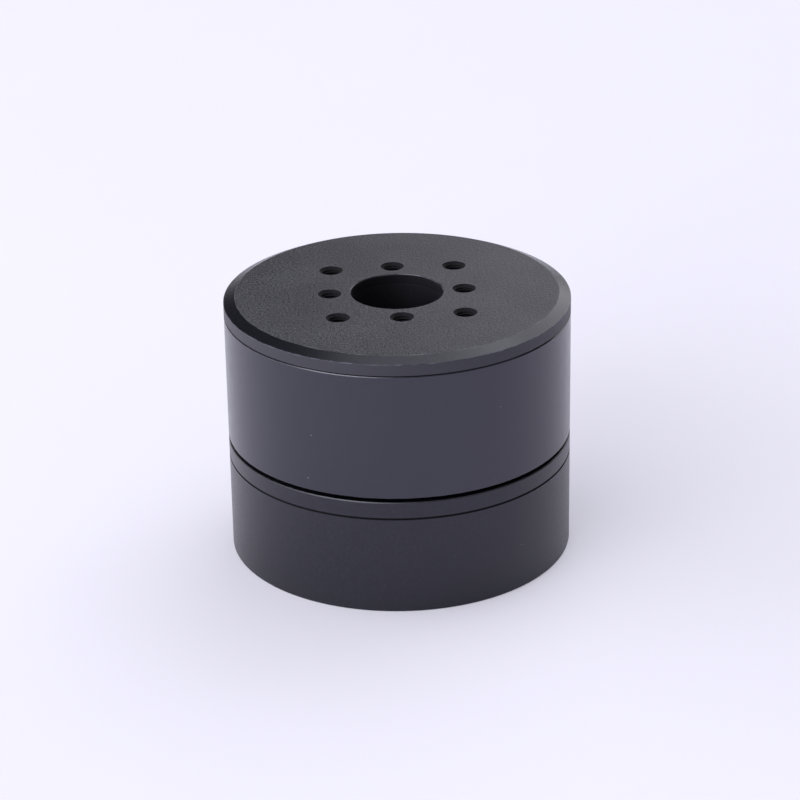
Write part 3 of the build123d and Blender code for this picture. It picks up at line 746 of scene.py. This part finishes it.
class ACTUATOR_OT_board_finishes(bpy.types.Operator):
    """Solder mask, traces and capacitor ends of the driver board"""

    bl_idname = "actuator.board_finishes"
    bl_label = "Board finishes"

    def execute(self, context):
        self.dress_board()
        self.dress_capacitors()
        return {"FINISHED"}

    def dress_board(self):
        # Glass-epoxy laminate under green solder mask: glossy, with copper areas that show as
        # paler, raised fields about 3 mm across.
        material, tree, shader = new_material("Green solder-masked laminate", IOR=1.5)
        coords = add_node(tree, "ShaderNodeTexCoord", {}).outputs["Object"]
        field_scale = 1 / (3.2 * MM)
        fields = add_node(
            tree, "ShaderNodeTexVoronoi",
            {"distance": "CHEBYCHEV", "feature": "F1", "Scale": field_scale, "Vector": coords},
        ).outputs["Color"]
        fields = add_node(tree, "ShaderNodeSeparateColor", {0: fields}).outputs[0]
        border = add_node(
            tree, "ShaderNodeTexVoronoi",
            {"feature": "DISTANCE_TO_EDGE", "Scale": field_scale, "Vector": coords},
        ).outputs["Distance"]
        raised = add_node(
            tree, "ShaderNodeMath", {"operation": "GREATER_THAN", 0: border, 1: 0.06}
        ).outputs[0]
        copper = add_node(
            tree, "ShaderNodeMix",
            {"data_type": "RGBA", 0: fields, 6: tint("board"), 7: linear("#1c6239")},
        ).outputs[2]
        tone = add_node(
            tree, "ShaderNodeMix",
            {"data_type": "RGBA", 0: raised, 6: linear("#0c3a20"), 7: copper},
        ).outputs[2]
        gloss = add_node(
            tree, "ShaderNodeMapRange", {"Value": fields, "To Min": 0.25, "To Max": 0.36}
        ).outputs[0]
        bump = add_node(
            tree, "ShaderNodeBump", {"Distance": 0.03 * MM, "Height": raised}
        ).outputs[0]
        feed(tree, shader, {"Base Color": tone, "Roughness": gloss, "Normal": bump})
        dress(material, "driver_board")

    def dress_capacitors(self):
        # Ceramic capacitors: tan bodies between tinned ends. They point at the axis, and their
        # inner ends are level with those of the power transistors.
        transistor_side, body_length, tinned_end = 3.3 * MM, 3.2 * MM, 0.55 * MM
        middle_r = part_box("power_transistors")[1].x - transistor_side + body_length / 2
        material, tree, shader = new_material("Ceramic capacitor with tinned ends")
        _coords, radius, _height = object_place(tree)
        off_middle = add_node(
            tree, "ShaderNodeMath", {"operation": "SUBTRACT", 0: radius, 1: middle_r}
        ).outputs[0]
        off_middle = add_node(
            tree, "ShaderNodeMath", {"operation": "ABSOLUTE", 0: off_middle}
        ).outputs[0]
        ends = add_node(
            tree, "ShaderNodeMath",
            {"operation": "GREATER_THAN", 0: off_middle, 1: body_length / 2 - tinned_end},
        ).outputs[0]
        tone = add_node(
            tree, "ShaderNodeMix",
            {"data_type": "RGBA", 0: ends, 6: linear("#9c7a52"), 7: linear("#c9c9c7")},
        ).outputs[2]
        gloss = add_node(
            tree, "ShaderNodeMapRange", {"Value": ends, "To Min": 0.55, "To Max": 0.3}
        ).outputs[0]
        feed(tree, shader, {"Base Color": tone, "Metallic": ends, "Roughness": gloss})
        dress(material, "board_capacitors")


class ACTUATOR_OT_threads(bpy.types.Operator):
    """Helical thread ridges in the tapped holes of the cap and the can"""

    bl_idname = "actuator.threads"
    bl_label = "Tapped threads"

    def execute(self, context):
        cap_depth = 3.5 * MM
        cap_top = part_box("rotor_cap")[1].z - TAP_CHAMFER
        bm = bmesh.new()
        thread_circle(bm, INNER_CIRCLE_R, 0, cap_top, cap_depth)
        thread_circle(bm, OUTER_CIRCLE_R, 45, cap_top, cap_depth)
        cap_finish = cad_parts["rotor_cap"].material_slots[0].material
        finish_piece("output_threads", bm, cap_finish, "rotor", smooth=False)
        # The can's holes open downwards, so their threads start near the closed ends.
        can_top, can_depth = 4.9 * MM, 4.4 * MM
        bm = bmesh.new()
        thread_circle(bm, BASE_CIRCLE_R, 45, can_top, can_depth)
        can_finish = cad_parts["driver_can"].material_slots[0].material
        finish_piece("base_threads", bm, can_finish, "stator", smooth=False)
        return {"FINISHED"}


class ACTUATOR_OT_windings(bpy.types.Operator):
    """Wire by wire windings of the three phases, in place of their plain coils"""

    bl_idname = "actuator.windings"
    bl_label = "Windings"

    def execute(self, context):
        coil = self.wound_coil()
        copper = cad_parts["phase_u_coils"].material_slots[0].material
        # Each phase has every third pair of neighbouring teeth.
        teeth = 24
        for phase, letter in enumerate("uvw"):
            bm = bmesh.new()
            for tooth in range(teeth):
                if tooth // 2 % 3 == phase:
                    done = len(bm.verts)
                    bm.from_mesh(coil)
                    bm.verts.ensure_lookup_table()
                    turn = Matrix.Rotation(math.radians(360 / teeth * tooth), 3, "Z")
                    bmesh.ops.rotate(bm, cent=(0, 0, 0), matrix=turn, verts=bm.verts[done:])
            winding = finish_piece(
                f"phase_{letter}_winding", bm, copper, "stator"
            )
            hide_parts(f"phase_{letter}_coils")
        bpy.data.meshes.remove(coil)
        return {"FINISHED"}

    def wound_coil(self):
        """The mesh of one coil's wire, on the tooth that points along x."""
        low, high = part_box("phase_u_coils")
        middle = (low.z + high.z) / 2
        wire_r = sizes().wire_dia / 2
        half_width, half_height = 1.05 * MM, 6.0 * MM
        inner_r, outer_r = 14.3 * MM, 19.9 * MM
        # The slots widen outwards, so a second layer of wire lies over the outer turns.
        second_layer_r = inner_r + 2.4 * MM
        layer_step = math.sqrt(3) * wire_r
        count = int((outer_r - inner_r) / (2 * wire_r))
        radii = [inner_r + wire_r * (2 * k + 1) for k in range(count)]
        back = [r - wire_r for r in reversed(radii)]
        turns = [(r, wire_r) for r in radii]
        turns += [(r, wire_r + layer_step) for r in back if r > second_layer_r]
        # Each turn goes up one flank and down the other, and crosses over along the lower end.
        path = []
        for r, lift in turns:
            for corner in (3, 0, 1, 2):
                y = half_width if corner in (0, 3) else -half_width
                z = half_height if corner < 2 else -half_height
                for bend in (15, 45, 75):
                    a = math.radians(90 * corner + bend)
                    path.append((r, y + lift * math.cos(a), middle + z + lift * math.sin(a)))
        curve = bpy.data.curves.new("coil wire", "CURVE")
        curve.dimensions = "3D"
        curve.bevel_depth = wire_r
        curve.bevel_resolution = 1
        curve.use_fill_caps = True
        spline = curve.splines.new("POLY")
        spline.points.add(len(path) - 1)
        for point, place in zip(spline.points, path):
            point.co = (*place, 1.0)
        wire = bpy.data.objects.new("coil wire", curve)
        coil = bpy.data.meshes.new_from_object(wire)
        bpy.data.objects.remove(wire)
        return coil


class ACTUATOR_OT_stage(bpy.types.Operator):
    """Pale floor, soft lights and the photograph's camera"""

    bl_idname = "actuator.stage"
    bl_label = "Stage"

    def execute(self, context):
        studio = context.scene.actuator_studio
        target = Vector((0, 0, studio.aim_height))
        self.floor(studio)
        self.backdrop(context.scene, studio)
        # Azimuth and elevation in degrees and distance in metres, then width and height.
        self.soft_box("Overhead soft box", target, (130, 74, 1.0), (0.9, 0.9), studio.overhead_level)
        self.soft_box("Left floor soft box", target, (-78, 19, 1.0), (2.9, 0.52), studio.left_level)
        self.soft_box("Fill soft box", target, (-38, 31, 1.0), (0.8, 0.5), studio.fill_level)
        self.soft_box("Back soft box", target, (148, 36, 1.4), (1.36, 1.32), studio.back_level)
        glint = self.soft_box("Glint strip", target, (-50, 57, 1.0), (0.9, 0.26), studio.glint_level)
        glint.visible_diffuse = False
        self.flag("Dark flag", target, (203, 36.5, 0.5), (0.47, 0.48))
        self.flag("Left dark flag", target, (241, 32, 0.5), (0.24, 0.26))
        self.flag("Right dark flag", target, (107, 31, 0.5), (0.22, 0.26))
        self.camera(context.scene, studio, target)
        return {"FINISHED"}

    def floor(self, studio):
        """A wide disc of paper, which far off has the backdrop's plain colour."""
        # Matt paper: even colour, a barely visible unevenness, and next to no sheen.
        material, tree, shader = new_material("Pale matt paper", Roughness=0.85, IOR=1.2)
        floor_r, blotches_a_metre = 6.0, 30.0
        coords = add_node(tree, "ShaderNodeTexCoord", {}).outputs["Object"]
        uneven = add_node(
            tree, "ShaderNodeTexNoise", {"Scale": blotches_a_metre, "Detail": 2.0, "Vector": coords}
        ).outputs[0]
        pale = tuple(studio.floor)
        faint = tuple(0.985 * share for share in pale[:3]) + (1.0,)
        tone = add_node(
            tree, "ShaderNodeMix", {"data_type": "RGBA", 0: uneven, 6: faint, 7: pale}
        ).outputs[2]
        feed(tree, shader, {"Base Color": tone})
        distance = add_node(
            tree, "ShaderNodeVectorMath", {"operation": "LENGTH", 0: coords}
        ).outputs["Value"]
        share = add_node(
            tree, "ShaderNodeMapRange",
            {"Value": distance, "From Min": studio.fade_start, "From Max": studio.fade_end,
             "To Min": studio.floor_share, "To Max": 1.0},
        ).outputs[0]
        seen = add_node(tree, "ShaderNodeLightPath", {}).outputs["Is Camera Ray"]
        share = add_node(
            tree, "ShaderNodeMath", {"operation": "MULTIPLY", 0: seen, 1: share}
        ).outputs[0]
        plain = add_node(tree, "ShaderNodeEmission", {"Color": pale, "Strength": 1.0}).outputs[0]
        both = add_node(
            tree, "ShaderNodeMixShader", {0: share, 1: shader.outputs[0], 2: plain}
        ).outputs[0]
        output = next(node for node in tree.nodes if node.type == "OUTPUT_MATERIAL")
        feed(tree, output, {"Surface": both})
        bm = bmesh.new()
        bmesh.ops.create_circle(bm, cap_ends=True, segments=96, radius=floor_r)
        floor = mesh_object("floor", bm, material)

    def backdrop(self, scene, studio):
        """Even, faintly blue light from all round, where the camera sees the floor's own colour."""
        world = bpy.data.worlds.new("Studio")
        scene.world = world
        world.use_nodes = True
        tree = world.node_tree
        tree.nodes.clear()
        rays = add_node(tree, "ShaderNodeLightPath", {}).outputs
        seen = add_node(
            tree, "ShaderNodeMath",
            {"operation": "MAXIMUM", 0: rays["Is Camera Ray"], 1: rays["Is Transmission Ray"]},
        ).outputs[0]
        light = add_node(
            tree, "ShaderNodeBackground",
            {"Color": (0.93, 0.93, 1.0, 1.0), "Strength": studio.sky_level},
        ).outputs[0]
        plain = add_node(
            tree, "ShaderNodeBackground", {"Color": tuple(studio.floor), "Strength": 1.0}
        ).outputs[0]
        both = add_node(tree, "ShaderNodeMixShader", {0: seen, 1: light, 2: plain}).outputs[0]
        add_node(tree, "ShaderNodeOutputWorld", {"Surface": both})

    def direction(self, azimuth, elevation):
        """A unit vector from the object: azimuth 0 is its front and 90 degrees its right."""
        reach = math.cos(elevation)
        return Vector((reach * math.sin(azimuth), -reach * math.cos(azimuth), math.sin(elevation)))

    def facing(self, target, place):
        """The transform of a thing that faces the target from a place round it."""
        azimuth, elevation, distance = place
        away = self.direction(math.radians(azimuth), math.radians(elevation))
        turn = away.to_track_quat("Z", "Y").to_matrix().to_4x4()
        return Matrix.Translation(target + away * distance) @ turn

    def soft_box(self, name, target, place, sides, radiance):
        """An area light that faces the target, as bright as its radiance says."""
        data = bpy.data.lights.new(name, "AREA")
        data.shape = "RECTANGLE"
        data.size, data.size_y = sides
        data.energy = radiance * math.pi * sides[0] * sides[1]
        light = bpy.data.objects.new(name, data)
        light.matrix_world = self.facing(target, place)
        light.visible_camera = False
        bpy.context.scene.collection.objects.link(light)
        return light

    def flag(self, name, target, place, sides):
        """A black card that the glossy faces reflect and nothing else sees."""
        bm = bmesh.new()
        bmesh.ops.create_grid(bm, x_segments=1, y_segments=1, size=0.5)
        bmesh.ops.scale(bm, vec=(*sides, 1), verts=bm.verts)
        bmesh.ops.transform(bm, matrix=self.facing(target, place), verts=bm.verts)
        material = new_material("Black card", Base_Color=linear("#050506"), Roughness=1.0)[0]
        card = mesh_object(name, bm, material)
        for ray in ("camera", "diffuse", "transmission", "shadow", "volume_scatter"):
            setattr(card, f"visible_{ray}", False)

    def camera(self, scene, studio, target):
        """The photograph's view, with the small turns that its framing needs."""
        azimuth = studio.camera_azimuth
        away = self.direction(azimuth, studio.camera_elevation)
        ahead = -away
        right = Vector((math.cos(azimuth), math.sin(azimuth), 0))
        yaw = Quaternion(right.cross(ahead), studio.camera_yaw)
        ahead, right = yaw @ ahead, yaw @ right
        ahead = Quaternion(right, studio.camera_pitch) @ ahead
        right = Quaternion(ahead, studio.camera_roll) @ right
        up = right.cross(ahead)
        data = bpy.data.cameras.new("Photograph view")
        data.sensor_width = 36.0
        data.lens = studio.focal_length
        data.clip_start, data.clip_end = 0.01, 50.0
        camera = bpy.data.objects.new("Photograph view", data)
        turn = Matrix((right, up, -ahead)).transposed().to_4x4()
        camera.matrix_world = Matrix.Translation(target + away * studio.camera_distance) @ turn
        scene.collection.objects.link(camera)
        scene.camera = camera
        scene.view_settings.view_transform = "Standard"


class ACTUATOR_PT_panel(bpy.types.Panel):
    """Lists the actuator's settings and operators"""

    bl_idname = "ACTUATOR_PT_panel"
    bl_label = "Joint actuator"
    bl_space_type = "VIEW_3D"
    bl_region_type = "UI"
    bl_category = "Actuator"

    def draw(self, context):
        layout = self.layout
        for group in GROUPS:
            settings = getattr(context.scene, group)
            box = layout.box()
            for name in settings.bl_rna.properties.keys():
                if name not in {"rna_type", "name"}:
                    box.prop(settings, name)
        for operator in OPERATORS:
            layout.operator(operator.bl_idname)


GROUPS = {
    "actuator_sizes": ActuatorSizes,
    "actuator_colours": ActuatorColours,
    "actuator_studio": ActuatorStudio,
}
OPERATORS = (
    ACTUATOR_OT_black_finishes,
    ACTUATOR_OT_inner_finishes,
    ACTUATOR_OT_core_finish,
    ACTUATOR_OT_board_finishes,
    ACTUATOR_OT_threads,
    ACTUATOR_OT_windings,
    ACTUATOR_OT_stage,
)


def register():
    for cls in (*GROUPS.values(), *OPERATORS, ACTUATOR_PT_panel):
        bpy.utils.register_class(cls)
    for name, group in GROUPS.items():
        setattr(bpy.types.Scene, name, bpy.props.PointerProperty(type=group))


def unregister():
    for name in GROUPS:
        delattr(bpy.types.Scene, name)
    for cls in (ACTUATOR_PT_panel, *reversed(OPERATORS), *GROUPS.values()):
        bpy.utils.unregister_class(cls)


def main():
    register()
    bpy.ops.actuator.black_finishes()
    bpy.ops.actuator.inner_finishes()
    bpy.ops.actuator.core_finish()
    bpy.ops.actuator.board_finishes()
    bpy.ops.actuator.threads()
    bpy.ops.actuator.windings()
    bpy.ops.actuator.stage()


if __name__ == "__main__":
    main()
